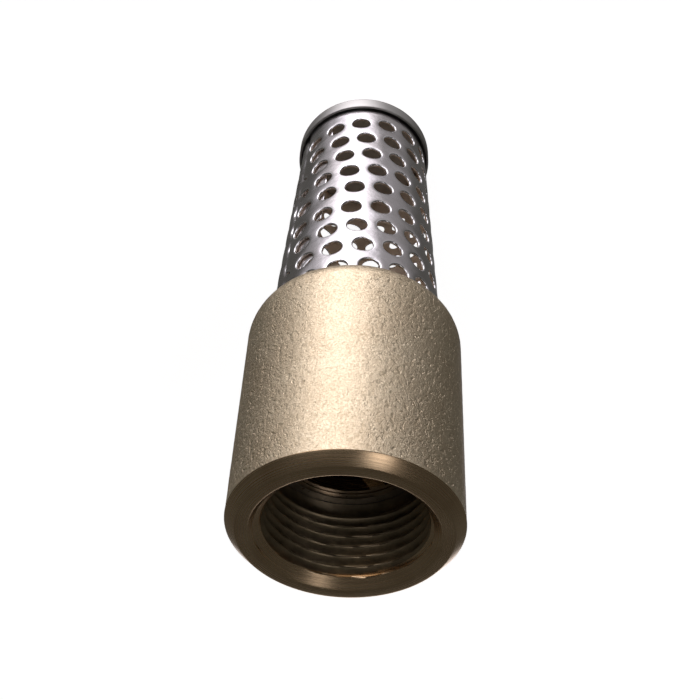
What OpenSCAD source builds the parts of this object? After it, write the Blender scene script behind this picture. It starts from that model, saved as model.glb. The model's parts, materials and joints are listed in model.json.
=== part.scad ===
// Foot valve with a pipe socket, a spring-loaded poppet and a perforated strainer.
// It stands on its strainer cap. +Z runs up the axis, from the cap to the outlet.
// Millimetres. The origin is the centre of the cap's flat underside.

/* [Overall] */
// Height from the cap's underside to the outlet face
total_h = 124; // [124:1:140]
// Length of the cast body
body_h = 51.4; // [51:0.2:53]

/* [Body casting] */
// Diameter of the body just behind the outlet chamfer
body_d = 43.4; // [43:0.2:46]
// How much wider the casting is at the shoulder, from its draft
draft = 1.8; // [0.4:0.1:2]
// Width of the 45 degree chamfer round the outlet
mouth_chamfer = 2.1; // [1:0.1:2.4]
// How far the rounding of the inlet end reaches in from the side
end_round_w = 3.3; // [2.5:0.1:3.5]
// How far the rounding of the inlet end reaches along the axis
end_round_h = 4.5; // [3:0.1:6]

/* [Pipe thread] */
// Radius at the thread crests
thread_minor_r = 15.146; // [15.1:0.001:15.2]
// Radius at the thread roots
thread_major_r = 16.624; // [16.5:0.001:16.7]
// Axial distance from crest to crest
thread_pitch = 2.309; // [2.2:0.001:2.31]
// Number of thread grooves
thread_turns = 7; // [5:1:7]
// Radius of the countersink at the outlet face
countersink_r = 17.4; // [17:0.1:17.6]

/* [Strainer] */
// Outside diameter of the strainer at its cap
screen_low_d = 32.2; // [31.8:0.1:32.6]
// Outside diameter of the strainer in the body
screen_high_d = 37.5; // [37:0.1:37.7]
// Sheet thickness
sheet_t = 0.8; // [0.6:0.1:1]
// Hole diameter
hole_d = 4.5; // [3:0.1:4.6]
// Distance between holes along a row
hole_pitch = 6.7; // [6.5:0.05:7]
// Distance between rows
row_pitch = 7.1; // [6.9:0.05:7.4]
// Sideways step from one row to the next
row_shift = 1.5; // [0:0.05:3]
// Drop towards the cap from one hole to the next in a row
row_drop = 0.75; // [0:0.05:1]
// Rows punched in one stroke of the press
rows_per_stroke = 5; // [3:1:8]

/* [Cap] */
// Height of the pressed cup on the end of the strainer
cap_h = 4.2; // [3.6:0.2:6]
// Thickness of the cup
cap_t = 0.6; // [0.5:0.1:0.7]

/* [Valve trim] */
// Seat bore radius
seat_r = 9.5; // [8:0.1:9.6]
// Stem radius
stem_r = 2.5; // [2:0.1:2.5]
// Lift of the poppet from shut to fully open
lift = 5; // [3:0.5:5]
// Wire diameter of the spring
wire_d = 0.9; // [0.6:0.1:1]
// Turns of the spring
spring_turns = 5; // [4:0.5:5]

/* [Hidden] */
fine = 96;
coarse = 32;
eps = 0.05;                 // room left between parts that are fixed to each other
slide_gap = 0.06;           // radial room round the sliding stem

// Heights along the axis, from the cap's underside.
z_lip = total_h - body_h;            // inlet end of the body, round the strainer
socket_depth = 3.4;                  // how far the strainer goes into the body
z_web = z_lip + socket_depth;        // underside of the web that carries the seat
web_t = 4;
z_floor = z_web + web_t;             // floor of the valve chamber
gasket_t = 0.8;
z_flange = z_floor + gasket_t;       // underside of the seat ring's flange
flange_t = 2.2;
nose_h = 0.6;
z_seat = z_flange + flange_t + nose_h;  // line on which the seal shuts
seal_t = 2.8;
z_holder = z_seat + seal_t;          // underside of the disc holder's plate
holder_t = 2.6;
z_plate = z_holder + holder_t;       // top of the disc holder, where the spring stands
collar_h = 1.8;
z_guide = z_floor + 21;              // shoulder that the upper guide rests on
guide_t = 3;
z_guide_top = z_guide + guide_t;
hub_h = 8;
groove_h = 1.2;                      // retaining ring groove
z_groove = z_guide_top + 0.1;
z_mouth = total_h;

// Radii.
body_r = body_d / 2;
shoulder_r = body_r + draft / 2;
screen_low_r = screen_low_d / 2;
screen_high_r = screen_high_d / 2;
socket_r = screen_high_r + 0.02;
chamber_r = 14.2;
guide_bore_r = 14.8;
groove_r = 15.6;
web_bore_r = 11.5;
seat_flange_r = 13.4;
skirt_r = web_bore_r - eps;
seal_r = 11.25;
holder_r = 12.2;
spring_mean_r = 6.1;
hub_r = 5;
bush_wall = 1.05;

// Points of an arc from angle a0 to a1 about [cx, cy].
function arc(cx, cy, r, a0, a1, n) =
    [for (k = [0:n]) let (a = a0 + (a1 - a0) * k / n) [cx + r * cos(a), cy + r * sin(a)]];

// Outer edge of the casting from the strainer's socket to the outlet.
end_steps = 10;
outer_edge = concat(
    [
        for (k = [0:end_steps])
            let (a = 90 * k / end_steps - 90)
                [shoulder_r - end_round_w * (1 - cos(a)), z_lip + end_round_h * (1 + sin(a))]
    ],
    [
        [body_r, z_mouth - mouth_chamfer],
        [body_r - mouth_chamfer, z_mouth],
        [countersink_r, z_mouth]
    ]
);

// The female thread, drawn as one groove per turn between narrow crests.
crest_w = 0.5;
root_w = 0.5;
z_thread_top = z_mouth - (countersink_r - thread_minor_r);
z_thread_end = z_thread_top - thread_turns * thread_pitch;
flank = (thread_pitch - crest_w - root_w) / 2;
thread_edge = concat(
    [[thread_minor_r, z_thread_top]],
    [
        for (k = [0:thread_turns - 1])
            let (z = z_thread_top - k * thread_pitch - crest_w)
                each [
                    [thread_minor_r, z],
                    [thread_major_r, z - flank],
                    [thread_major_r, z - flank - root_w],
                    [thread_minor_r, z - 2 * flank - root_w]
                ]
    ]
);

module turned(points) {
    rotate_extrude($fn = fine) polygon(points);
}

module tube(r_in, r_out, z0, z1) {
    difference() {
        translate([0, 0, z0]) cylinder(r = r_out, h = z1 - z0, $fn = fine);
        translate([0, 0, z0 - 1]) cylinder(r = r_in, h = z1 - z0 + 2, $fn = fine);
    }
}

module arms(count, r_in, r_out, width, z0, z1) {
    for (k = [0:count - 1])
        rotate([0, 0, k * 360 / count])
            translate([r_in, -width / 2, z0])
                cube([r_out - r_in, width, z1 - z0]);
}

module body() {
    color("darkkhaki")
        turned(concat(
            outer_edge,
            thread_edge,
            [
                [thread_minor_r, z_groove + groove_h],
                [groove_r, z_groove + groove_h],
                [groove_r, z_groove],
                [guide_bore_r, z_groove],
                [guide_bore_r, z_guide],
                [chamber_r, z_guide],
                [chamber_r, z_floor],
                [web_bore_r, z_floor],
                [web_bore_r, z_web],
                [socket_r, z_web],
                [socket_r, z_lip]
            ]
        ));
}

// Renewable seat: flange and nose above the web, a skirt through it, and a lower stem guide.
skirt_end = z_web - 15;
lower_hub_r = 4.6;
lower_hub_z = skirt_end - 1;
lower_hub_h = 8;
spanner_slot_w = 3;
module seat_ring() {
    z_top = z_seat - nose_h;
    color("goldenrod")
        difference() {
            union() {
                turned([
                    [seat_r, skirt_end], [skirt_r - 1, skirt_end], [skirt_r, skirt_end + 1],
                    [skirt_r, z_flange], [seat_flange_r, z_flange], [seat_flange_r, z_top],
                    [seat_r + 1.7, z_top], [seat_r + 1.2, z_seat], [seat_r + 0.4, z_seat], [seat_r, z_top]
                ]);
                arms(3, lower_hub_r - 1, seat_r + 0.5, 2.4, skirt_end, skirt_end + 4);
                tube(stem_r + bush_wall, lower_hub_r, lower_hub_z, lower_hub_z + lower_hub_h);
            }
            for (side = [0, 180])
                rotate([0, 0, side])
                    translate([seat_flange_r - 1.4, -spanner_slot_w / 2, z_flange + 0.8])
                        cube([4, spanner_slot_w, flange_t]);
        }
}

module seat_gasket() {
    color("saddlebrown") tube(web_bore_r + eps, seat_flange_r, z_floor, z_flange);
}

module lower_guide_bush() {
    color("ivory")
        tube(stem_r + slide_gap, stem_r + bush_wall - eps / 2, lower_hub_z, lower_hub_z + lower_hub_h);
}

module stem() {
    z_low = lower_hub_z - 1.5;
    z_high = z_thread_end - 0.2;
    tip = 0.6;
    color("silver")
        turned([
            [0, z_low], [stem_r - tip, z_low], [stem_r, z_low + tip],
            [stem_r, z_plate], [stem_r + collar_h, z_plate], [stem_r + collar_h, z_plate + collar_h - 0.4],
            [stem_r + collar_h - 0.4, z_plate + collar_h], [stem_r, z_plate + collar_h],
            [stem_r, z_high - tip], [stem_r - tip, z_high], [0, z_high]
        ]);
}

module disc_holder() {
    skirt_z = z_seat + 0.8;
    color("goldenrod")
        turned([
            [stem_r + 0.02, z_holder], [seal_r + eps, z_holder], [seal_r + eps, skirt_z],
            [holder_r - 0.3, skirt_z], [holder_r, skirt_z + 0.3], [holder_r, z_plate - 1.2],
            [holder_r - 1.2, z_plate], [stem_r + 0.02, z_plate]
        ]);
}

module seal_disc() {
    color("dimgray") tube(stem_r + 0.02, seal_r, z_seat, z_holder);
}

seal_washer_t = 1.5;
lock_washer_t = 1;
nut_h = 4;
z_seal_washer = z_seat - seal_washer_t;
z_lock_washer = z_seal_washer - lock_washer_t;
z_nut = z_lock_washer - nut_h;

module seal_washer() {
    r = seat_r - 1.1;
    color("goldenrod")
        turned([
            [stem_r + 0.02, z_seal_washer], [r - 0.5, z_seal_washer], [r, z_seal_washer + 0.5],
            [r, z_seat], [stem_r + 0.02, z_seat]
        ]);
}

// Split spring washer: a square-section ring with one slanted cut.
module lock_washer() {
    color("silver")
        difference() {
            tube(stem_r + 0.1, stem_r + 2, z_lock_washer, z_seal_washer);
            translate([stem_r + 1, 0, z_lock_washer + lock_washer_t / 2])
                rotate([25, 0, 0]) cube([4, 0.5, 4], center = true);
        }
}

nut_across_flats = 8;
module stem_nut() {
    color("silver")
        difference() {
            intersection() {
                translate([0, 0, z_nut])
                    cylinder(d = nut_across_flats / cos(30), h = nut_h, $fn = 6);
                turned([
                    [0, z_nut], [nut_across_flats / 2, z_nut], [nut_across_flats / 2 + 1, z_nut + 0.6],
                    [nut_across_flats / 2 + 1, z_lock_washer - 0.6],
                    [nut_across_flats / 2, z_lock_washer], [0, z_lock_washer]
                ]);
            }
            translate([0, 0, z_nut - 1]) cylinder(r = stem_r + 0.02, h = nut_h + 2, $fn = coarse);
        }
}

// Compression spring: the end turns lie flat and the middle turns share the rest of the height.
spring_washer_t = 0.6;
spring_z0 = z_plate;
spring_z1 = z_guide - spring_washer_t;
steps_per_turn = 20;
wire_sides = 8;
spring_steps = spring_turns * steps_per_turn;
flat_turns = 0.75;
function rise_share(turn) =
    let (a = turn - flat_turns, b = spring_turns - 2 * flat_turns)
        a <= 0 ? 0 : a >= b ? 1 : a / b - sin(360 * a / b) / (4 * 180);
function spring_point(k) =
    let (
        turn = k / steps_per_turn,
        low = spring_z0 + eps + wire_d / 2,
        high = spring_z1 - eps - wire_d / 2,
        flat_rise = wire_d * 1.05 * (min(turn, flat_turns) + max(0, turn - spring_turns + flat_turns)),
        between = high - low - wire_d * 1.05 * 2 * flat_turns
    )
        [
            spring_mean_r * cos(360 * turn),
            spring_mean_r * sin(360 * turn),
            low + flat_rise + between * rise_share(turn)
        ];

module spring() {
    ring = [
        for (k = [0:spring_steps])
            let (p = spring_point(k), a = 360 * k / steps_per_turn)
                [for (s = [0:wire_sides - 1])
                    let (b = 360 * s / wire_sides)
                        [
                            p[0] + wire_d / 2 * cos(b) * cos(a),
                            p[1] + wire_d / 2 * cos(b) * sin(a),
                            p[2] + wire_d / 2 * sin(b)
                        ]]
    ];
    points = [for (r = ring) each r];
    sides = [
        for (k = [0:spring_steps - 1], s = [0:wire_sides - 1])
            let (
                a = k * wire_sides + s,
                b = k * wire_sides + (s + 1) % wire_sides
            )
                each [[a, b, b + wire_sides], [a, b + wire_sides, a + wire_sides]]
    ];
    first_cap = [for (s = [wire_sides - 1:-1:0]) s];
    last_cap = [for (s = [0:wire_sides - 1]) spring_steps * wire_sides + s];
    color("lightgray") polyhedron(points, concat(sides, [first_cap, last_cap]));
}

module spring_washer() {
    color("silver") tube(hub_r + 0.15, spring_mean_r + 1.1, spring_z1, z_guide);
}

module upper_guide() {
    z_hub = z_guide_top - hub_h;
    color("goldenrod")
        difference() {
            union() {
                tube(12.4, guide_bore_r - eps, z_guide, z_guide_top);
                arms(3, hub_r - 1, 13, 3.2, z_guide, z_guide_top);
                translate([0, 0, z_hub]) cylinder(r = hub_r, h = hub_h, $fn = fine);
                translate([0, 0, z_guide]) cylinder(r = spring_mean_r + 1.4, h = guide_t, $fn = fine);
            }
            translate([0, 0, z_hub - 1])
                cylinder(r = stem_r + bush_wall, h = hub_h + 2, $fn = fine);
        }
}

module upper_guide_bush() {
    z_hub = z_guide_top - hub_h;
    color("ivory") tube(stem_r + slide_gap, stem_r + bush_wall - eps / 2, z_hub, z_guide_top);
}

// Internal retaining ring with two drilled ears at its gap.
ring_in_r = 13.3;
ring_gap = 30;
ear_r = 1.7;
module retaining_ring() {
    z0 = z_groove + eps;
    t = groove_h - 2 * eps;
    ear_x = ring_in_r - 0.5;
    color("silver")
        difference() {
            union() {
                difference() {
                    tube(ring_in_r, groove_r - eps, z0, z0 + t);
                    rotate([0, 0, -ring_gap / 2])
                        translate([0, 0, z0 - 1])
                            linear_extrude(t + 2)
                                polygon([[0, 0], [20, 0], [20 * cos(ring_gap), 20 * sin(ring_gap)]]);
                }
                for (side = [-1, 1])
                    rotate([0, 0, side * (ring_gap / 2 + 4)])
                        translate([ear_x, 0, z0]) cylinder(r = ear_r, h = t, $fn = coarse);
            }
            for (side = [-1, 1])
                rotate([0, 0, side * (ring_gap / 2 + 4)])
                    translate([ear_x, 0, z0 - 1]) cylinder(r = 0.8, h = t + 2, $fn = coarse);
        }
}

// The strainer is one perforated sheet, rolled into a slightly tapered tube with a seam at seam_a.
// Its holes are counted along the sheet from the line at front_a, so the holes on the two sides of
// the seam don't line up. Angles run round +Z from +X.
seam_a = -30;
seam_margin = 8;            // degrees kept clear of hole centres on each side of the seam
front_a = 270;
first_hole_s = 7.8;         // along the sheet from front_a
first_hole_z = 11.7;
stroke_slip = -2;           // sideways jump of the pattern from one press stroke to the next
stroke_gap = 1;             // and its extra distance along the axis
plain_end = 8.2;            // no hole centre is nearer to the cap's underside
last_hole_z = z_lip;        // the body covers part of the last holes
cap_corner = 0.8;           // outer radius between the cap's floor and wall
cap_gap = 0.5;              // between the cap's wall and the strainer
screen_z0 = cap_t + eps;
screen_z1 = z_web - eps;
columns = ceil(2 * PI * screen_high_r / hole_pitch) + 1;
rows = ceil(z_lip / row_pitch) + 2;

function screen_r(z) =
    screen_low_r + (screen_high_r - screen_low_r) * (z - screen_z0) / (screen_z1 - screen_z0);
function row_offset(i) = i * row_shift + floor(i / rows_per_stroke) * stroke_slip;
function hole_z(i, j) =
    first_hole_z + i * row_pitch + floor(i / rows_per_stroke) * stroke_gap - j * row_drop;
function hole_a(i, j) =
    front_a + (first_hole_s - j * hole_pitch - row_offset(i)) * 180 / (PI * screen_r(hole_z(i, j)));
function in_sheet(i, j) =
    hole_z(i, j) > plain_end && hole_z(i, j) < last_hole_z
    && hole_a(i, j) > seam_a + seam_margin && hole_a(i, j) < seam_a + 360 - seam_margin;

module strainer_screen() {
    color("gainsboro")
        difference() {
            turned([
                [screen_low_r - sheet_t, screen_z0], [screen_low_r, screen_z0],
                [screen_high_r, screen_z1], [screen_high_r - sheet_t, screen_z1]
            ]);
            for (i = [-1:rows], j = [-4:columns])
                if (in_sheet(i, j))
                    rotate([0, 0, hole_a(i, j)])
                        translate([screen_r(hole_z(i, j)) - sheet_t - 1, 0, hole_z(i, j)])
                            rotate([0, 90, 0]) cylinder(d = hole_d, h = sheet_t + 2, $fn = coarse);
        }
}

// Pressed cup over the end of the strainer. Its raised floor fits inside the tube.
module strainer_cap() {
    r_in = screen_low_r + cap_gap;
    r_out = r_in + cap_t;
    dish_r = screen_low_r - sheet_t - 0.6;
    dish_h = 1;
    color("lightgray")
        turned(concat(
            [[0, dish_h], [dish_r - 0.8, dish_h], [dish_r, 0]],
            arc(r_out - cap_corner, cap_corner, cap_corner, -90, 0, 5),
            [[r_out, cap_h - 0.2], [r_out - 0.2, cap_h], [r_in + 0.2, cap_h], [r_in, cap_h - 0.2]],
            arc(r_in - (cap_corner - cap_t), cap_corner, cap_corner - cap_t, 0, -90, 3),
            [[dish_r + 0.4, cap_t], [dish_r - 0.4, cap_t + dish_h], [0, cap_t + dish_h]]
        ));
}

body();
seat_ring();
seat_gasket();
lower_guide_bush();
stem();
disc_holder();
seal_disc();
seal_washer();
lock_washer();
stem_nut();
spring();
spring_washer();
upper_guide();
upper_guide_bush();
retaining_ring();
strainer_screen();
strainer_cap();
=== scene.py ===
import json
import math

import bpy
import numpy as np
from mathutils import Matrix, Vector, noise
from mathutils.geometry import delaunay_2d_cdt


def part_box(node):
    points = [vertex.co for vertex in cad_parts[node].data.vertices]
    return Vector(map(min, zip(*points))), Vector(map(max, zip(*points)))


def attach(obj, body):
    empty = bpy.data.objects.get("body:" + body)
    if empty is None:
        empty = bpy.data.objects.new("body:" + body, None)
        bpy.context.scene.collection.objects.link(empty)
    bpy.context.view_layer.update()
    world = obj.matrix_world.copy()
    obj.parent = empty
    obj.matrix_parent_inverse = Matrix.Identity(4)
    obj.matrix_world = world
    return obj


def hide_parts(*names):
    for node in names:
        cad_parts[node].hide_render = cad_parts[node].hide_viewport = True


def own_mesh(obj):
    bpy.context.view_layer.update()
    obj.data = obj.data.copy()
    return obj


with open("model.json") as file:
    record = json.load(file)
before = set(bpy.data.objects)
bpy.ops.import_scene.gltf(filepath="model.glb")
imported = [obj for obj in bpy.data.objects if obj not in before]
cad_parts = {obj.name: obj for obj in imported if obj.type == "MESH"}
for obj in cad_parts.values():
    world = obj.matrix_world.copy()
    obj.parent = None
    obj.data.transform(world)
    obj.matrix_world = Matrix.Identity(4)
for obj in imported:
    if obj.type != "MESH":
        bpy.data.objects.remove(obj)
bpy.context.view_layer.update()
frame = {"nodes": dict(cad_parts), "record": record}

# Lengths below are in millimetres, in the frame's own axes, and are scaled once when a mesh is made.
MM = 0.001
TAU = 2 * math.pi


def box_mm(node):
    low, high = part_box(node)
    return [v / MM for v in low], [v / MM for v in high]


BODY_LOW, BODY_HIGH = box_mm("body")
SCREEN_LOW, SCREEN_HIGH = box_mm("strainer_screen")
_, CAP_HIGH = box_mm("strainer_cap")
SPRING_LOW, SPRING_HIGH = box_mm("spring")
_, GUIDE_HIGH = box_mm("upper_guide")
GASKET_LOW, _ = box_mm("seat_gasket")
RING_LOW, RING_HIGH = box_mm("retaining_ring")
THREAD = next(m for m in frame["record"]["mounts"] if m["name"] == "outlet_thread")

Z_LIP = BODY_LOW[2]
Z_MOUTH = BODY_HIGH[2]
SHOULDER_R = BODY_HIGH[0]
SCREEN_R = SCREEN_HIGH[0]   # at the body end, where the strainer is widest
CAP_R = CAP_HIGH[0]


# ---------------------------------------------------------------- mesh helpers
def arc(cx, cz, r, a0, a1, steps):
    """Points of an arc about (cx, cz), with angles in degrees."""
    angles = np.radians(np.linspace(a0, a1, steps + 1))
    return [(cx + r * math.cos(a), cz + r * math.sin(a)) for a in angles]


def softened(points, radius, steps=3):
    """The outline with each corner between its ends replaced by a small curve."""
    result = []
    for i, point in enumerate(points):
        if i in (0, len(points) - 1):
            result.append(tuple(point))
            continue
        here = Vector(point)
        back = Vector(points[i - 1]) - here
        ahead = Vector(points[i + 1]) - here
        reach = min(radius, back.length * 0.45, ahead.length * 0.45)
        start = here + back.normalized() * reach
        end = here + ahead.normalized() * reach
        for k in range(steps + 1):
            t = k / steps
            result.append(tuple((1 - t) ** 2 * start + 2 * t * (1 - t) * here + t**2 * end))
    return result


def refined(points, step):
    """The outline with points added so that none are further apart than step."""
    result = [points[0]]
    for a, b in zip(points, points[1:]):
        pieces = max(1, math.ceil(math.dist(a, b) / step))
        for k in range(1, pieces + 1):
            result.append((a[0] + (b[0] - a[0]) * k / pieces, a[1] + (b[1] - a[1]) * k / pieces))
    return result


def make_object(name, verts, faces, materials, face_slots=None, sharp_deg=35):
    """A smooth-shaded mesh object from points in millimetres."""
    mesh = bpy.data.meshes.new(name)
    mesh.from_pydata((np.asarray(verts) * MM).tolist(), [], faces)
    for material in materials:
        mesh.materials.append(material)
    if face_slots is not None:
        mesh.polygons.foreach_set("material_index", face_slots)
    mesh.polygons.foreach_set("use_smooth", [True] * len(mesh.polygons))
    mesh.set_sharp_from_angle(angle=math.radians(sharp_deg))
    mesh.update()
    obj = bpy.data.objects.new(name, mesh)
    bpy.context.scene.collection.objects.link(obj)
    return obj


def ring_points(radii, z, count):
    """One ring of points round the axis. radii is one radius or one for each point."""
    angles = np.arange(count) * TAU / count
    radii = np.broadcast_to(radii, (count,))
    return np.stack([radii * np.cos(angles), radii * np.sin(angles), np.full(count, z)], axis=1)


def ring_faces(rings, count, closed):
    """Quads between neighbouring rings."""
    faces = []
    for i in range(rings if closed else rings - 1):
        a, b = i * count, (i + 1) % rings * count
        faces.extend((a + k, a + (k + 1) % count, b + (k + 1) % count, b + k) for k in range(count))
    return faces


def lathe(name, outline, count, materials):
    """An outline of (r, z) points turned round the axis. It starts and ends on the axis, and runs so that
    the metal is on its left."""
    inner = outline[1:-1]
    verts = np.concatenate([ring_points(r, z, count) for r, z in inner])
    faces = ring_faces(len(inner), count, closed=False)
    last = (len(inner) - 1) * count
    verts = np.concatenate([verts, [[0, 0, outline[0][1]], [0, 0, outline[-1][1]]]])
    low, high = len(verts) - 2, len(verts) - 1
    faces += [(low, (k + 1) % count, k) for k in range(count)]
    faces += [(high, last + k, last + (k + 1) % count) for k in range(count)]
    return make_object(name, verts, faces, materials)


# ---------------------------------------------------------------- materials
class Nodes:
    """A short way to build a node tree."""

    def __init__(self, name):
        self.material = bpy.data.materials.new(name)
        self.material.use_nodes = True
        self.tree = self.material.node_tree
        self.tree.nodes.clear()
        self.output = self.add("ShaderNodeOutputMaterial")
        self.shader = self.add("ShaderNodeBsdfPrincipled")
        self.link(self.shader, "BSDF", self.output, "Surface")
        self.coords = self.add("ShaderNodeTexCoord")

    def add(self, kind, **settings):
        node = self.tree.nodes.new(kind)
        for key, value in settings.items():
            if hasattr(node, key):
                setattr(node, key, value)
            else:
                node.inputs[key.replace("_", " ").title()].default_value = value
        return node

    def link(self, a, out, b, into):
        self.tree.links.new(a.outputs[out], b.inputs[into])

    def set(self, **values):
        for key, value in values.items():
            self.shader.inputs[key.replace("_", " ").title()].default_value = value

    def mapped(self, scale):
        """The object's own coordinates, stretched."""
        mapping = self.add("ShaderNodeMapping")
        mapping.inputs["Scale"].default_value = scale
        self.link(self.coords, "Object", mapping, "Vector")
        return mapping

    def noise(self, scale, detail=4, roughness=0.55, stretch=None):
        node = self.add("ShaderNodeTexNoise", scale=scale, detail=detail, roughness=roughness)
        if stretch is None:
            self.link(self.coords, "Object", node, "Vector")
        else:
            self.link(self.mapped(stretch), "Vector", node, "Vector")
        return node

    def ramp(self, source, out, low, high, low_colour, high_colour):
        node = self.add("ShaderNodeValToRGB")
        node.color_ramp.elements[0].position = low
        node.color_ramp.elements[0].color = (*low_colour, 1)
        node.color_ramp.elements[1].position = high
        node.color_ramp.elements[1].color = (*high_colour, 1)
        self.link(source, out, node, "Fac")
        return node

    def spread(self, source, out, low, high, to_low, to_high):
        node = self.add("ShaderNodeMapRange")
        for name, value in (("From Min", low), ("From Max", high), ("To Min", to_low), ("To Max", to_high)):
            node.inputs[name].default_value = value
        self.link(source, out, node, "Value")
        return node

    def bumps(self, *layers):
        """Bump layers of (node, output, height in metres, strength), one on top of the other."""
        below = None
        for source, out, distance, strength in layers:
            bump = self.add("ShaderNodeBump", distance=distance, strength=strength)
            self.link(source, out, bump, "Height")
            if below is not None:
                self.link(below, "Normal", bump, "Normal")
            below = bump
        self.link(below, "Normal", self.shader, "Normal")


def turning_lines(nodes, pitch):
    """Fine rings that a lathe tool leaves: noise along Z and along the radius only."""
    split = nodes.add("ShaderNodeSeparateXYZ")
    nodes.link(nodes.coords, "Object", split, "Vector")
    flat = nodes.add("ShaderNodeCombineXYZ")
    nodes.link(split, "X", flat, "X")
    nodes.link(split, "Y", flat, "Y")
    radius = nodes.add("ShaderNodeVectorMath", operation="LENGTH")
    nodes.link(flat, "Vector", radius, 0)
    profile = nodes.add("ShaderNodeCombineXYZ")
    nodes.link(radius, "Value", profile, "X")
    nodes.link(split, "Z", profile, "Z")
    lines = nodes.add("ShaderNodeTexNoise", scale=1 / pitch, detail=3, roughness=0.7)
    nodes.link(profile, "Vector", lines, "Vector")
    return lines


# Places of a Mix node's colour sockets, which share their names with its other sockets.
MIX_COLOUR_A = 6
MIX_COLOUR_B = 7
MIX_COLOUR_RESULT = 2


def cast_bronze():
    nodes = Nodes("cast_bronze")
    broad = nodes.noise(110, 3)
    fine = nodes.noise(2600, 5, 0.75)
    tone = nodes.ramp(broad, "Fac", 0.3, 0.7, (0.78, 0.65, 0.46), (0.87, 0.75, 0.55))
    speck = nodes.ramp(fine, "Fac", 0.38, 0.6, (0.70, 0.66, 0.60), (1.0, 1.0, 1.0))
    colour = nodes.add("ShaderNodeMix", data_type="RGBA", blend_type="MULTIPLY")
    colour.inputs["Factor"].default_value = 1.0
    nodes.link(tone, "Color", colour, MIX_COLOUR_A)
    nodes.link(speck, "Color", colour, MIX_COLOUR_B)
    nodes.link(colour, MIX_COLOUR_RESULT, nodes.shader, "Base Color")
    nodes.set(metallic=1.0)

    # The casting is smoother along its front and back, and more pitted on each side.
    split = nodes.add("ShaderNodeSeparateXYZ")
    nodes.link(nodes.coords, "Object", split, "Vector")
    from_front = nodes.add("ShaderNodeMath", operation="SUBTRACT")
    nodes.link(split, "X", from_front, 0)
    from_front.inputs[1].default_value = 0.003
    away = nodes.add("ShaderNodeMath", operation="ABSOLUTE")
    nodes.link(from_front, "Value", away, 0)
    side = nodes.spread(away, "Value", 0.004, 0.012, 0.2, 1.25)

    def on_side(source, out):
        product = nodes.add("ShaderNodeMath", operation="MULTIPLY")
        nodes.link(source, out, product, 0)
        nodes.link(side, "Result", product, 1)
        return product

    sand = on_side(nodes.noise(1700, 5, 0.75), "Fac")
    pits = on_side(nodes.spread(nodes.noise(1000, 3, 0.6), "Fac", 0.52, 0.68, 1.0, 0.0), "Result")
    brushed = nodes.noise(800, 3, 0.65, stretch=(0.1, 0.1, 1.8))
    rough = nodes.spread(fine, "Fac", 0.3, 0.7, 0.44, 0.3)
    nodes.link(rough, "Result", nodes.shader, "Roughness")
    nodes.bumps(
        (pits, "Value", 0.00014, 0.9),
        (sand, "Value", 0.00017, 0.85),
        (fine, "Fac", 0.00009, 0.9),
        (brushed, "Fac", 0.00005, 0.6),
    )
    return nodes.material


def machined_bronze():
    nodes = Nodes("machined_bronze")
    broad = nodes.noise(120, 3)
    colour = nodes.ramp(broad, "Fac", 0.3, 0.7, (0.58, 0.41, 0.24), (0.7, 0.52, 0.32))
    nodes.link(colour, "Color", nodes.shader, "Base Color")
    nodes.set(metallic=1.0)
    lines = turning_lines(nodes, 0.00022)
    rough = nodes.spread(lines, "Fac", 0.3, 0.7, 0.2, 0.32)
    nodes.link(rough, "Result", nodes.shader, "Roughness")
    nodes.bumps((lines, "Fac", 0.00002, 0.5))
    return nodes.material


# Painted shade: a dark bronze for the thread below its first turns and for the whole inside of the body,
# standing in for the shade deep in the valve.
def bore_bronze_painted_shade():
    nodes = Nodes("bore_bronze_painted_shade")
    shade_mottle = nodes.noise(350, 4, 0.6)
    colour = nodes.ramp(shade_mottle, "Fac", 0.3, 0.7, (0.24, 0.19, 0.12), (0.38, 0.30, 0.19))
    nodes.link(colour, "Color", nodes.shader, "Base Color")
    nodes.set(metallic=1.0)
    rough = nodes.spread(shade_mottle, "Fac", 0.3, 0.7, 0.34, 0.46)
    nodes.link(rough, "Result", nodes.shader, "Roughness")
    nodes.bumps((shade_mottle, "Fac", 0.00003, 0.4))
    return nodes.material


def bright_sheet():
    nodes = Nodes("stainless_sheet")
    broad = nodes.noise(60, 3)
    colour = nodes.ramp(broad, "Fac", 0.3, 0.7, (0.52, 0.49, 0.48), (0.70, 0.68, 0.70))
    nodes.link(colour, "Color", nodes.shader, "Base Color")
    nodes.set(metallic=1.0)
    scratch = nodes.noise(900, 3, 0.6, stretch=(1, 1, 0.05))
    smear = nodes.noise(200, 3, 0.55)
    rough = nodes.spread(smear, "Fac", 0.3, 0.7, 0.17, 0.27)
    nodes.link(rough, "Result", nodes.shader, "Roughness")
    nodes.bumps((smear, "Fac", 0.00025, 0.5), (scratch, "Fac", 0.000012, 0.3))
    return nodes.material


# Painted highlight: the rounded rims of the holes and the sheet's edges get a lighter steel colour than the
# sheet, standing in for the bright crescents of light along them.
def rim_painted_highlight():
    nodes = Nodes("stainless_rim_painted_highlight")
    broad = nodes.noise(300, 3)
    colour = nodes.ramp(broad, "Fac", 0.3, 0.7, (0.78, 0.77, 0.78), (0.9, 0.89, 0.9))
    nodes.link(colour, "Color", nodes.shader, "Base Color")
    nodes.set(metallic=1.0)
    rough = nodes.spread(broad, "Fac", 0.3, 0.7, 0.16, 0.24)
    nodes.link(rough, "Result", nodes.shader, "Roughness")
    return nodes.material


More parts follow.
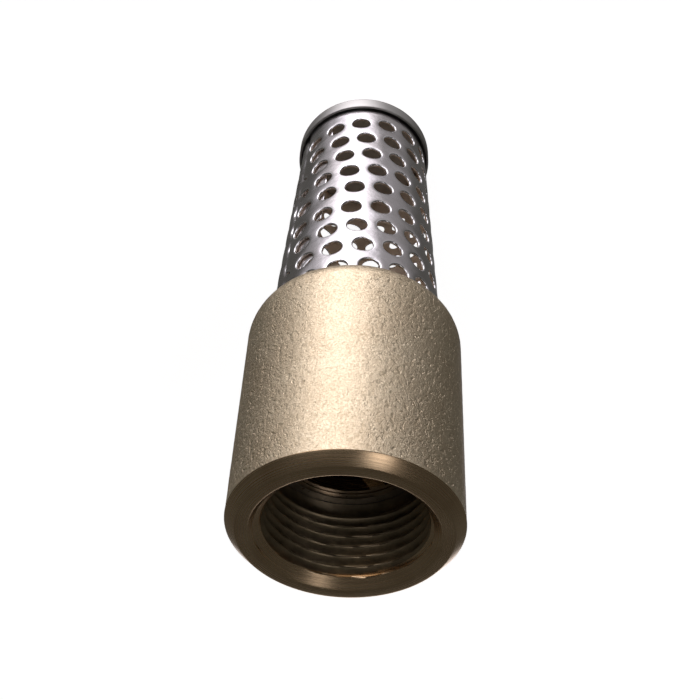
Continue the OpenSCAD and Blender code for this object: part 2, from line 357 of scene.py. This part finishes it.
# Painted reflection: the sheet's inner face and the inner half of each hole's wall get a warm, brownish,
# barely metallic colour that stands in for warm light reflected inside the tube through the holes.
def inside_painted_reflection():
    nodes = Nodes("stainless_inside_painted_reflection")
    warm_mottle = nodes.noise(300, 4, 0.6)
    colour = nodes.ramp(warm_mottle, "Fac", 0.3, 0.7, (0.66, 0.54, 0.42), (0.84, 0.70, 0.56))
    nodes.link(colour, "Color", nodes.shader, "Base Color")
    nodes.set(metallic=0.15)
    rough = nodes.spread(warm_mottle, "Fac", 0.3, 0.7, 0.4, 0.55)
    nodes.link(rough, "Result", nodes.shader, "Roughness")
    nodes.bumps((warm_mottle, "Fac", 0.00003, 0.4))
    return nodes.material


def satin_cap():
    nodes = Nodes("stainless_cap")
    broad = nodes.noise(80, 3)
    colour = nodes.ramp(broad, "Fac", 0.3, 0.7, (0.46, 0.45, 0.43), (0.56, 0.55, 0.53))
    nodes.link(colour, "Color", nodes.shader, "Base Color")
    nodes.set(metallic=1.0)
    lines = turning_lines(nodes, 0.0004)
    rough = nodes.spread(broad, "Fac", 0.3, 0.7, 0.36, 0.48)
    nodes.link(rough, "Result", nodes.shader, "Roughness")
    nodes.bumps((lines, "Fac", 0.00002, 0.4))
    return nodes.material


def turned_steel():
    nodes = Nodes("stainless_steel")
    lines = turning_lines(nodes, 0.0002)
    colour = nodes.ramp(lines, "Fac", 0.3, 0.7, (0.55, 0.55, 0.55), (0.68, 0.68, 0.67))
    nodes.link(colour, "Color", nodes.shader, "Base Color")
    nodes.set(metallic=1.0)
    rough = nodes.spread(lines, "Fac", 0.3, 0.7, 0.2, 0.32)
    nodes.link(rough, "Result", nodes.shader, "Roughness")
    nodes.bumps((lines, "Fac", 0.00001, 0.4))
    return nodes.material


def drawn_wire():
    nodes = Nodes("spring_steel")
    streaks = nodes.noise(400, 4, 0.6)
    colour = nodes.ramp(streaks, "Fac", 0.3, 0.7, (0.38, 0.38, 0.39), (0.56, 0.56, 0.57))
    nodes.link(colour, "Color", nodes.shader, "Base Color")
    nodes.set(metallic=1.0)
    rough = nodes.spread(streaks, "Fac", 0.3, 0.7, 0.26, 0.38)
    nodes.link(rough, "Result", nodes.shader, "Roughness")
    nodes.bumps((streaks, "Fac", 0.00001, 0.3))
    return nodes.material


def moulded(name, dark, light, rough_low, rough_high, grain_scale):
    nodes = Nodes(name)
    grain = nodes.noise(grain_scale, 4, 0.6)
    colour = nodes.ramp(grain, "Fac", 0.3, 0.7, dark, light)
    nodes.link(colour, "Color", nodes.shader, "Base Color")
    rough = nodes.spread(grain, "Fac", 0.3, 0.7, rough_low, rough_high)
    nodes.link(rough, "Result", nodes.shader, "Roughness")
    nodes.bumps((grain, "Fac", 0.00003, 0.4))
    return nodes.material


MATERIALS = {
    "cast_bronze": cast_bronze(),
    "machined_bronze": machined_bronze(),
    "bore_bronze_painted_shade": bore_bronze_painted_shade(),
    "stainless_sheet": bright_sheet(),
    "stainless_rim_painted_highlight": rim_painted_highlight(),
    "stainless_inside_painted_reflection": inside_painted_reflection(),
    "stainless_cap": satin_cap(),
    "stainless_steel": turned_steel(),
    "spring_steel": drawn_wire(),
    "nitrile_rubber": moulded("nitrile_rubber", (0.012, 0.012, 0.012), (0.03, 0.03, 0.03), 0.5, 0.7, 900),
    "gasket_fibre": moulded("gasket_fibre", (0.16, 0.06, 0.03), (0.3, 0.13, 0.07), 0.7, 0.9, 1200),
    "ptfe": moulded("ptfe", (0.72, 0.72, 0.69), (0.84, 0.84, 0.82), 0.35, 0.5, 700),
}


# ---------------------------------------------------------------- body casting
THREAD_CREST_R = THREAD["dims"]["r_mm"]
THREAD_PITCH = 2.309
THREAD_DEPTH = 1.479
THREAD_LENGTH = 16.2
THREAD_RUNOUT = 2.2
SHARPNESS = 0.93            # of the thread's rounded triangle; 1 is a plain triangle
MOUTH_R = SHOULDER_R - 0.9
CHAMFER = 2.1
COUNTERSINK_R = 17.4
END_ROUND_W = 3.3           # the inlet end's rounding, along the radius
END_ROUND_H = 4.5           # and along the axis
CAST_ROUGHNESS = 0.07       # depth of the sand-cast surface's hollows
CHAMBER_R = 14.2            # inside, between the guide and the floor
WEB_BORE_R = 11.5           # inside, through the web that carries the seat
GUIDE_RIM = 3               # height of the upper guide's rim
CLEAR = 0.05                # round the parts that the body holds
PAINTED_SHADE_DEPTH = 3            # depth below the mouth where the thread's painted shade starts; above it the thread has the face's machined colour
THREAD_ROWS = 140
BODY_SEGMENTS = 320


def thread_radius(angles, z):
    """Radius of the right-hand internal thread and its countersink at one height."""
    phase = z / THREAD_PITCH - angles / TAU
    wave = np.arcsin(SHARPNESS * np.sin(TAU * phase)) / math.asin(SHARPNESS)
    end_z = Z_MOUTH - THREAD_LENGTH
    fade = np.clip((z - end_z) / THREAD_RUNOUT, 0, 1)
    fade = fade * fade * (3 - 2 * fade)
    radius = THREAD_CREST_R + THREAD_DEPTH * (1 + wave) / 2 * fade
    countersink = COUNTERSINK_R - (Z_MOUTH - z)
    return np.maximum(radius, countersink)


def cast_outline():
    """The sand-cast outer edge, from the inlet's end face to the outlet chamfer."""
    points = [
        (SHOULDER_R - END_ROUND_W * (1 - math.cos(a)), Z_LIP + END_ROUND_H * (1 + math.sin(a)))
        for a in np.radians(np.linspace(-90, 0, 17))
    ]
    points.append((MOUTH_R, Z_MOUTH - CHAMFER - 0.15))
    return refined(points, 0.45)


def cast_ring(r, z, depth):
    """A ring of the casting's skin, with hollows up to depth below the outline."""
    ring = ring_points(r, z, BODY_SEGMENTS)
    for point in ring:
        place = Vector(point)
        grain = noise.fractal(place * 0.9, 1.0, 2.1, 3) * 0.5 + 0.5
        swell = noise.noise(place * 0.16) * 0.5 + 0.5
        sunk = depth * (0.7 * grain + 0.5 * swell)
        scale = 1 - max(0, min(sunk, depth * 1.3)) / r
        point[0] *= scale
        point[1] *= scale
    return ring


def make_body():
    angles = np.arange(BODY_SEGMENTS) * TAU / BODY_SEGMENTS
    groove_low, groove_high = RING_LOW[2] - CLEAR, RING_HIGH[2] + CLEAR
    groove_r, guide_r = RING_HIGH[1] + CLEAR, GUIDE_HIGH[1] + CLEAR
    guide_z, floor_z, web_z = GUIDE_HIGH[2] - GUIDE_RIM, GASKET_LOW[2], SCREEN_HIGH[2] + CLEAR
    socket_r = SCREEN_R + 0.02

    rings, slots = [], []

    def put(ring, slot):
        rings.append(ring)
        slots.append(slot)

    skin = cast_outline()
    for i, (r, z) in enumerate(skin):
        near_end = min(i / 4, (len(skin) - 1 - i) / 2, 1)
        put(cast_ring(r, z, CAST_ROUGHNESS * near_end), 0)

    mouth = [
        (MOUTH_R, Z_MOUTH - CHAMFER - 0.15),
        (MOUTH_R, Z_MOUTH - CHAMFER),
        (MOUTH_R - CHAMFER, Z_MOUTH),
        (COUNTERSINK_R, Z_MOUTH),
        (COUNTERSINK_R - 0.3, Z_MOUTH - 0.3),
    ]
    for r, z in softened(mouth, 0.22)[1:-1]:
        put(ring_points(r, z, BODY_SEGMENTS), 1)

    # Thread deeper than a few millimetres below the mouth takes the dark bore colour, which is painted
    # shade.
    for z in np.linspace(Z_MOUTH - 0.35, groove_high + 0.25, THREAD_ROWS):
        slot = 2 if z < Z_MOUTH - PAINTED_SHADE_DEPTH else 1
        put(ring_points(thread_radius(angles, z), z, BODY_SEGMENTS), slot)

    inside = [
        (THREAD_CREST_R, groove_high + 0.2),
        (THREAD_CREST_R, groove_high),
        (groove_r, groove_high),
        (groove_r, groove_low),
        (guide_r, groove_low),
        (guide_r, guide_z),
        (CHAMBER_R, guide_z),
        (CHAMBER_R, floor_z),
        (WEB_BORE_R, floor_z),
        (WEB_BORE_R, web_z),
        (socket_r, web_z),
        (socket_r, Z_LIP),
        (SHOULDER_R - END_ROUND_W, Z_LIP),
    ]
    # The body's inside also takes the dark bore colour: painted shade.
    for r, z in softened(inside, 0.12, 2)[:-1]:
        put(ring_points(r, z, BODY_SEGMENTS), 2)

    # The rings run up the outside and down the inside, which turns the faces outwards.
    verts = np.concatenate(rings)
    faces = ring_faces(len(rings), BODY_SEGMENTS, closed=True)
    face_slots = np.repeat(slots, BODY_SEGMENTS).tolist()
    # Its third finish, the dark bore colour, is painted shade.
    finishes = [MATERIALS[name] for name in ("cast_bronze", "machined_bronze", "bore_bronze_painted_shade")]
    return make_object("valve_body", verts, faces, finishes, face_slots)


# ---------------------------------------------------------------- strainer screen
# The strainer is one punched sheet rolled into a slightly tapered tube. Its outer edge is at SEAM_DEG,
# and the other end of the sheet lies under it. On the flat sheet a point is (u, z), with u the length
# round the tube from the line at FRONT_DEG.
SHEET = 0.8                 # thickness
SCREEN_LOW_R = 16.1         # at the cap end
HOLE_R = 2.25
HOLE_PITCH = 6.7            # along a row
ROW_PITCH = 7.1
ROW_SHIFT = 1.5             # sideways step from one row to the next
ROW_DROP = 0.75             # along the axis, from one hole to the next in a row
ROWS_PER_STROKE = 5         # of the press
STROKE_SLIP = -2.0
STROKE_GAP = 1.0
FIRST_HOLE_U = 7.8
FIRST_HOLE_Z = 11.7
LOWEST_HOLE_Z = 8.2
FRONT_DEG = -90
SEAM_DEG = -30
LAP_DEG = 28                # overlap of the sheet's two ends
STEP_DEG = 9                # over which it steps down under itself
LAP_GAP = 0.06
RIM = 0.35                  # radius of the punched rims
EDGE = 0.12                 # radius of the sheared edges
HOLE_SIDES = 32
DISH = 0.05                 # how far the punch draws the sheet in round a hole
HALOES = (0.18, 0.42, 0.75)  # distances from a rim of the extra rings of points that follow its dish


def screen_r(z):
    return SCREEN_LOW_R + (SCREEN_R - SCREEN_LOW_R) * (z - SCREEN_LOW[2]) / (SCREEN_HIGH[2] - SCREEN_LOW[2])


def outer_edge_u(z):
    return np.radians(SEAM_DEG - FRONT_DEG) * screen_r(z)


def inner_edge_u(z):
    return np.radians(SEAM_DEG - FRONT_DEG - 360 - LAP_DEG) * screen_r(z)


def hole_centres():
    """Places of the holes on the flat sheet. One that an edge of the sheet would leave as a thin sliver
    is moved inwards."""
    clear, notch = HOLE_R + 0.7, 0.7 * HOLE_R
    centres = []
    for i in range(-1, 13):
        stroke = math.floor(i / ROWS_PER_STROKE)
        for j in range(-5, 21):
            u = FIRST_HOLE_U - j * HOLE_PITCH - i * ROW_SHIFT - stroke * STROKE_SLIP
            z = FIRST_HOLE_Z + i * ROW_PITCH + stroke * STROKE_GAP - j * ROW_DROP
            if not LOWEST_HOLE_Z < z < Z_LIP:
                continue
            from_outer, from_inner = outer_edge_u(z) - u, u - inner_edge_u(z)
            if notch < from_outer < clear:
                u -= clear - from_outer
            elif notch < from_inner < clear:
                u += clear - from_inner
            if min(from_outer, from_inner) > -0.5 * HOLE_R:
                centres.append((u, z))
    return np.array(centres)


def circle(centre, radius):
    angles = np.arange(HOLE_SIDES) * TAU / HOLE_SIDES
    return np.stack([centre[0] + radius * np.cos(angles), centre[1] + radius * np.sin(angles)], axis=1)


def nearest_hole(points, centres):
    return np.linalg.norm(points[:, None] - centres[None], axis=2).min(axis=1)


def flat_sheet(centres):
    """Triangles of the flat perforated sheet, inset by the rims' and edges' radii."""
    low, high = SCREEN_LOW[2] + EDGE, SCREEN_HIGH[2] - EDGE
    points, edges = [], []

    def add_loop(loop):
        start = len(points)
        points.extend(loop)
        edges.extend((start + k, start + (k + 1) % len(loop)) for k in range(len(loop)))

    corners = [(inner_edge_u(low) + EDGE, low), (outer_edge_u(low) - EDGE, low)]
    corners += [(outer_edge_u(high) - EDGE, high), (inner_edge_u(high) + EDGE, high)]
    add_loop(corners)
    for centre in centres:
        add_loop(circle(centre, HOLE_R + RIM).tolist())
        whole = min(outer_edge_u(centre[1]) - centre[0], centre[0] - inner_edge_u(centre[1])) > HOLE_R + 0.6
        for extra in HALOES if whole else ():
            points.extend(circle(centre, HOLE_R + RIM + extra).tolist())
    grid = []
    for z in np.linspace(low, high, 70):
        left, right = inner_edge_u(z) + EDGE, outer_edge_u(z) - EDGE
        grid.extend((u, z) for u in np.linspace(left, right, 115))
    grid = np.array(grid)
    points.extend(grid[nearest_hole(grid, centres) > HOLE_R + RIM + 1.1].tolist())

    verts, _, tris, *_ = delaunay_2d_cdt([Vector(p) for p in points], edges, [], 0, 1e-5)
    flat = np.array([tuple(v) for v in verts])
    tris = np.array(tris)
    middle = flat[tris].mean(axis=1)
    u, z = middle[:, 0], middle[:, 1]
    inside = (u > inner_edge_u(z) + EDGE) & (u < outer_edge_u(z) - EDGE) & (z > low) & (z < high)
    solid = nearest_hole(middle, centres) > (HOLE_R + RIM) * math.cos(math.pi / HOLE_SIDES) * 0.9999
    kept = tris[inside & solid]
    a, b, c = flat[kept[:, 0]], flat[kept[:, 1]], flat[kept[:, 2]]
    turn = (b[:, 0] - a[:, 0]) * (c[:, 1] - a[:, 1]) - (b[:, 1] - a[:, 1]) * (c[:, 0] - a[:, 0])
    kept[turn < 0] = kept[turn < 0][:, ::-1]
    used, kept = np.unique(kept, return_inverse=True)
    return flat[used], kept.reshape(-1, 3)


def rolled(flat, depth):
    """Points of the flat sheet at a depth below its outer face, rolled into the tube."""
    u, z = flat[:, 0], flat[:, 1]
    r = screen_r(z)
    angle = FRONT_DEG + np.degrees(u / r)
    turn = SEAM_DEG - angle
    t = np.clip((turn - (360 - STEP_DEG)) / (STEP_DEG - 1.0), 0, 1)
    r = r - (SHEET + LAP_GAP) * t * t * (3 - 2 * t) - depth
    angle = np.radians(angle)
    return np.stack([r * np.cos(angle), r * np.sin(angle), z], axis=1)


def make_screen():
    centres = hole_centres()
    flat, triangles = flat_sheet(centres)
    count = len(flat)
    directed = {(int(a), int(b)) for t in triangles for a, b in ((t[0], t[1]), (t[1], t[2]), (t[2], t[0]))}
    ahead = {a: b for a, b in directed if (b, a) not in directed}
    back = {b: a for a, b in ahead.items()}
    border = sorted(ahead)

    # Direction out of the metal, in the flat sheet, at each point of the border.
    outward = np.zeros((len(border), 2))
    for k, here in enumerate(border):
        for a, b in ((back[here], here), (here, ahead[here])):
            along = flat[b] - flat[a]
            outward[k] += np.array([along[1], -along[0]]) / np.linalg.norm(along)
    outward /= np.maximum(np.linalg.norm(outward, axis=1, keepdims=True), 1e-9)

    gap = nearest_hole(flat, centres) - HOLE_R
    drawn = DISH * np.exp(-np.maximum(gap - RIM, 0) / 0.4)
    layers = [rolled(flat, drawn), rolled(flat, SHEET)]
    edge_flat, edge_drawn = flat[border], drawn[border]
    round_r = np.where(gap[border] < RIM + 0.01, RIM, EDGE)
    angles = np.radians((22.5, 45, 67.5, 90))
    profile = [(math.sin(a), 1 - math.cos(a)) for a in angles]
    steps = [(out * round_r, deep * round_r) for out, deep in profile]
    steps += [(out * round_r, SHEET - deep * round_r) for out, deep in reversed(profile)]
    for out, depth in steps:
        layers.append(rolled(edge_flat + outward * out[:, None], depth + edge_drawn * (1 - depth / SHEET)))
    verts = np.concatenate(layers)

    faces = triangles.tolist() + (triangles[:, ::-1] + count).tolist()
    place = {here: k for k, here in enumerate(border)}
    for here, there in ahead.items():
        chains = []
        for end in (here, there):
            levels = [2 * count + k * len(border) + place[end] for k in range(len(steps))]
            chains.append([end] + levels + [count + end])
        for k in range(len(steps) + 1):
            faces.append((chains[0][k], chains[0][k + 1], chains[1][k + 1], chains[1][k]))
    # Each edge's outer half, slot 2, has the rim's lighter colour, a painted highlight.
    rim_rows = [2] * (len(profile) + 1) + [1] * len(profile)
    # Slot 1, the inner face and the inner half of each edge, has the warm colour that paints a reflection.
    face_slots = [0] * len(triangles) + [1] * len(triangles) + rim_rows * len(ahead)
    finishes = [MATERIALS[name] for name in ("stainless_sheet", "stainless_inside_painted_reflection", "stainless_rim_painted_highlight")]
    return make_object("strainer_sheet", verts, faces, finishes, face_slots, sharp_deg=60)


# ---------------------------------------------------------------- strainer cap
def make_cap():
    wall, corner, dish_h, height = 0.6, 0.8, 1.0, CAP_HIGH[2]
    dish_r = SCREEN_LOW_R - SHEET - 0.6
    under = [(0, dish_h), (dish_r - 0.8, dish_h), (dish_r, 0), (CAP_R - corner, 0)]
    outline = softened(under, 0.4, 4)
    outline += arc(CAP_R - corner, corner, corner, -90, 0, 10)[1:]
    outline += arc(CAP_R - 0.25, height - 0.25, 0.25, 0, 90, 4)
    outline += arc(CAP_R - wall + 0.2, height - 0.2, 0.2, 90, 180, 4)
    outline += arc(CAP_R - corner, corner, corner - wall, 0, -90, 3)
    inner = [(CAP_R - corner, wall), (dish_r + 0.4, wall), (dish_r - 0.4, wall + dish_h), (0, wall + dish_h)]
    outline += softened(inner, 0.4, 4)[1:]
    return lathe("end_cap", refined(outline, 2.5), 192, [MATERIALS["stainless_cap"]])


# ---------------------------------------------------------------- spring
WIRE_D = 0.9
SPRING_TURNS = 5
FLAT_TURNS = 0.75
SPRING_MEAN_R = 6.1


def make_spring():
    low, high = SPRING_LOW[2] + WIRE_D / 2, SPRING_HIGH[2] - WIRE_D / 2
    closed_rise = WIRE_D * 1.05
    steps, sides = SPRING_TURNS * 48, 14
    turns = np.linspace(0, SPRING_TURNS, steps + 1)
    end = np.minimum(turns, FLAT_TURNS) + np.maximum(0, turns - SPRING_TURNS + FLAT_TURNS)
    middle = np.clip((turns - FLAT_TURNS) / (SPRING_TURNS - 2 * FLAT_TURNS), 0, 1)
    share = middle - np.sin(TAU * middle) / (2 * TAU)
    heights = low + closed_rise * end + (high - low - 2 * closed_rise * FLAT_TURNS) * share
    around = np.arange(sides) * TAU / sides
    rings = []
    for turn, z in zip(turns, heights):
        c, s = math.cos(TAU * turn), math.sin(TAU * turn)
        r = SPRING_MEAN_R + WIRE_D / 2 * np.cos(around)
        rings.append(np.stack([r * c, r * s, z + WIRE_D / 2 * np.sin(around)], axis=1))
    verts = np.concatenate(rings)
    faces = [f[::-1] for f in ring_faces(len(rings), sides, closed=False)]
    last = (len(rings) - 1) * sides
    faces.append(tuple(range(sides)))
    faces.append(tuple(range(last + sides - 1, last - 1, -1)))
    return make_object("coil_spring", verts, faces, [MATERIALS["spring_steel"]])


# ---------------------------------------------------------------- the model
body = make_body()
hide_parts("body")
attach(body, "housing")

screen = make_screen()
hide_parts("strainer_screen")
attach(screen, "housing")

cap = make_cap()
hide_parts("strainer_cap")
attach(cap, "housing")

spring = make_spring()
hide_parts("spring")
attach(spring, "housing")
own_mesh(spring)

REPLACED = {"body", "strainer_screen", "strainer_cap", "spring"}
SLOT_OF = {part["node"]: part["material_slot"] for part in frame["record"]["subparts"]}
for node, obj in frame["nodes"].items():
    if node in REPLACED:
        continue
    obj.data.materials.clear()
    obj.data.materials.append(MATERIALS[SLOT_OF[node]])


# ---------------------------------------------------------------- camera
CAMERA_AT = Vector((0, -142.4, 224.2)) * MM
CAMERA_TILT = 43.85         # degrees up from straight down
CAMERA_YAW = -0.25
CAMERA_ROLL = 182.92        # the outlet, which is nearest, is at the bottom of the picture
LENS_MM = 49.6

camera_data = bpy.data.cameras.new("camera")
camera_data.lens = LENS_MM
camera_data.sensor_width = 36
camera_data.clip_start = 0.005
camera = bpy.data.objects.new("camera", camera_data)
bpy.context.scene.collection.objects.link(camera)
camera.matrix_world = (
    Matrix.Translation(CAMERA_AT)
    @ Matrix.Rotation(math.radians(CAMERA_TILT), 4, "X")
    @ Matrix.Rotation(math.radians(CAMERA_YAW), 4, "Y")
    @ Matrix.Rotation(math.radians(CAMERA_ROLL), 4, "Z")
)
bpy.context.scene.camera = camera


# ---------------------------------------------------------------- floor, light and surroundings
def make_floor():
    side = 2.0
    mesh = bpy.data.meshes.new("floor")
    corners = [(-side, -side, 0), (side, -side, 0), (side, side, 0), (-side, side, 0)]
    mesh.from_pydata(corners, [], [(0, 1, 2, 3)])
    floor = bpy.data.objects.new("floor", mesh)
    floor.location.z = -0.0002
    bpy.context.scene.collection.objects.link(floor)
    nodes = Nodes("floor")
    nodes.set(base_color=(0.86, 0.86, 0.85, 1), roughness=0.9)
    nodes.set(emission_color=(1, 1, 1, 1), emission_strength=0.9)
    mesh.materials.append(nodes.material)
    floor.visible_glossy = False
    floor.visible_shadow = False
    floor.visible_diffuse = False


# Azimuth, elevation, half width, half height, in degrees, and strength.
LIGHT_PATCHES = (
    (-76, -46, 30, 34, 3.1),    # key, in front and below
    (-50, -46, 36, 36, 0.8),    # its left half is wider
    (-130, -46, 40, 40, 0.35),  # and a fainter right half
    (-68, 12, 36, 26, 2.4),     # a lamp to the left, for the rims of the holes
    (-122, 44, 13, 12, 2.6),    # a small lamp above, for a glint on the chamfer
    (93, -20, 24, 42, 2.4),     # for the back
)
LAMP_COLOUR = (0.98, 0.94, 1.0)
ROOM_COLOUR = (1.0, 0.97, 0.9)
LOW_LEVEL = 0.10
HIGH_LEVEL = 0.06


def make_world():
    """A pale backdrop for the camera. Everything else sees soft patches of light round the object."""
    world = bpy.data.worlds.new("studio")
    world.use_nodes = True
    tree = world.node_tree
    tree.nodes.clear()

    def add(kind, **values):
        node = tree.nodes.new(kind)
        for key, value in values.items():
            setattr(node, key, value)
        return node

    def math_node(operation, a, b):
        node = add("ShaderNodeMath", operation=operation)
        for socket, value in zip(node.inputs, (a, b)):
            if isinstance(value, (int, float)):
                socket.default_value = value
            else:
                tree.links.new(value, socket)
        return node.outputs[0]

    coords = add("ShaderNodeTexCoord")

    def along(axis):
        node = add("ShaderNodeVectorMath", operation="DOT_PRODUCT")
        tree.links.new(coords.outputs["Generated"], node.inputs[0])
        node.inputs[1].default_value = axis
        return node.outputs["Value"]

    def patch(azimuth, elevation, width, height, strength):
        """A soft-edged patch: its middle's direction, and its half sizes, in degrees."""
        az, el = math.radians(azimuth), math.radians(elevation)
        ahead = (math.cos(el) * math.cos(az), math.cos(el) * math.sin(az), math.sin(el))
        aside = (-math.sin(az), math.cos(az), 0)
        upward = (-math.sin(el) * math.cos(az), -math.sin(el) * math.sin(az), math.cos(el))
        x = math_node("DIVIDE", along(aside), math.sin(math.radians(width)))
        y = math_node("DIVIDE", along(upward), math.sin(math.radians(height)))
        far = math_node("ADD", math_node("MULTIPLY", x, x), math_node("MULTIPLY", y, y))
        near = math_node("MAXIMUM", math_node("SUBTRACT", 1, far), 0)
        front = math_node("GREATER_THAN", along(ahead), 0)
        near = math_node("MULTIPLY", math_node("POWER", near, 1.5), front)
        return math_node("MULTIPLY", near, strength)

    total = None
    for settings in LIGHT_PATCHES:
        value = patch(*settings)
        total = value if total is None else math_node("ADD", total, value)
    height = add("ShaderNodeMapRange", interpolation_type="SMOOTHSTEP")
    height.inputs["From Min"].default_value = -0.35
    height.inputs["From Max"].default_value = 0.35
    height.inputs["To Min"].default_value = LOW_LEVEL
    height.inputs["To Max"].default_value = HIGH_LEVEL
    tree.links.new(along((0, 0, 1)), height.inputs["Value"])

    def background(colour, strength=None):
        node = add("ShaderNodeBackground")
        node.inputs["Color"].default_value = (*colour, 1)
        if strength is not None:
            tree.links.new(strength, node.inputs["Strength"])
        return node

    output = add("ShaderNodeOutputWorld")
    pale = background((1, 1, 1))
    lamps = background(LAMP_COLOUR, total)
    room = background(ROOM_COLOUR, height.outputs["Result"])
    studio = add("ShaderNodeAddShader")
    tree.links.new(lamps.outputs["Background"], studio.inputs[0])
    tree.links.new(room.outputs["Background"], studio.inputs[1])
    path = add("ShaderNodeLightPath")
    mix = add("ShaderNodeMixShader")
    tree.links.new(path.outputs["Is Camera Ray"], mix.inputs["Fac"])
    tree.links.new(studio.outputs["Shader"], mix.inputs[1])
    tree.links.new(pale.outputs["Background"], mix.inputs[2])
    tree.links.new(mix.outputs["Shader"], output.inputs["Surface"])
    bpy.context.scene.world = world


make_floor()
make_world()
bpy.context.scene.view_settings.view_transform = "Standard"
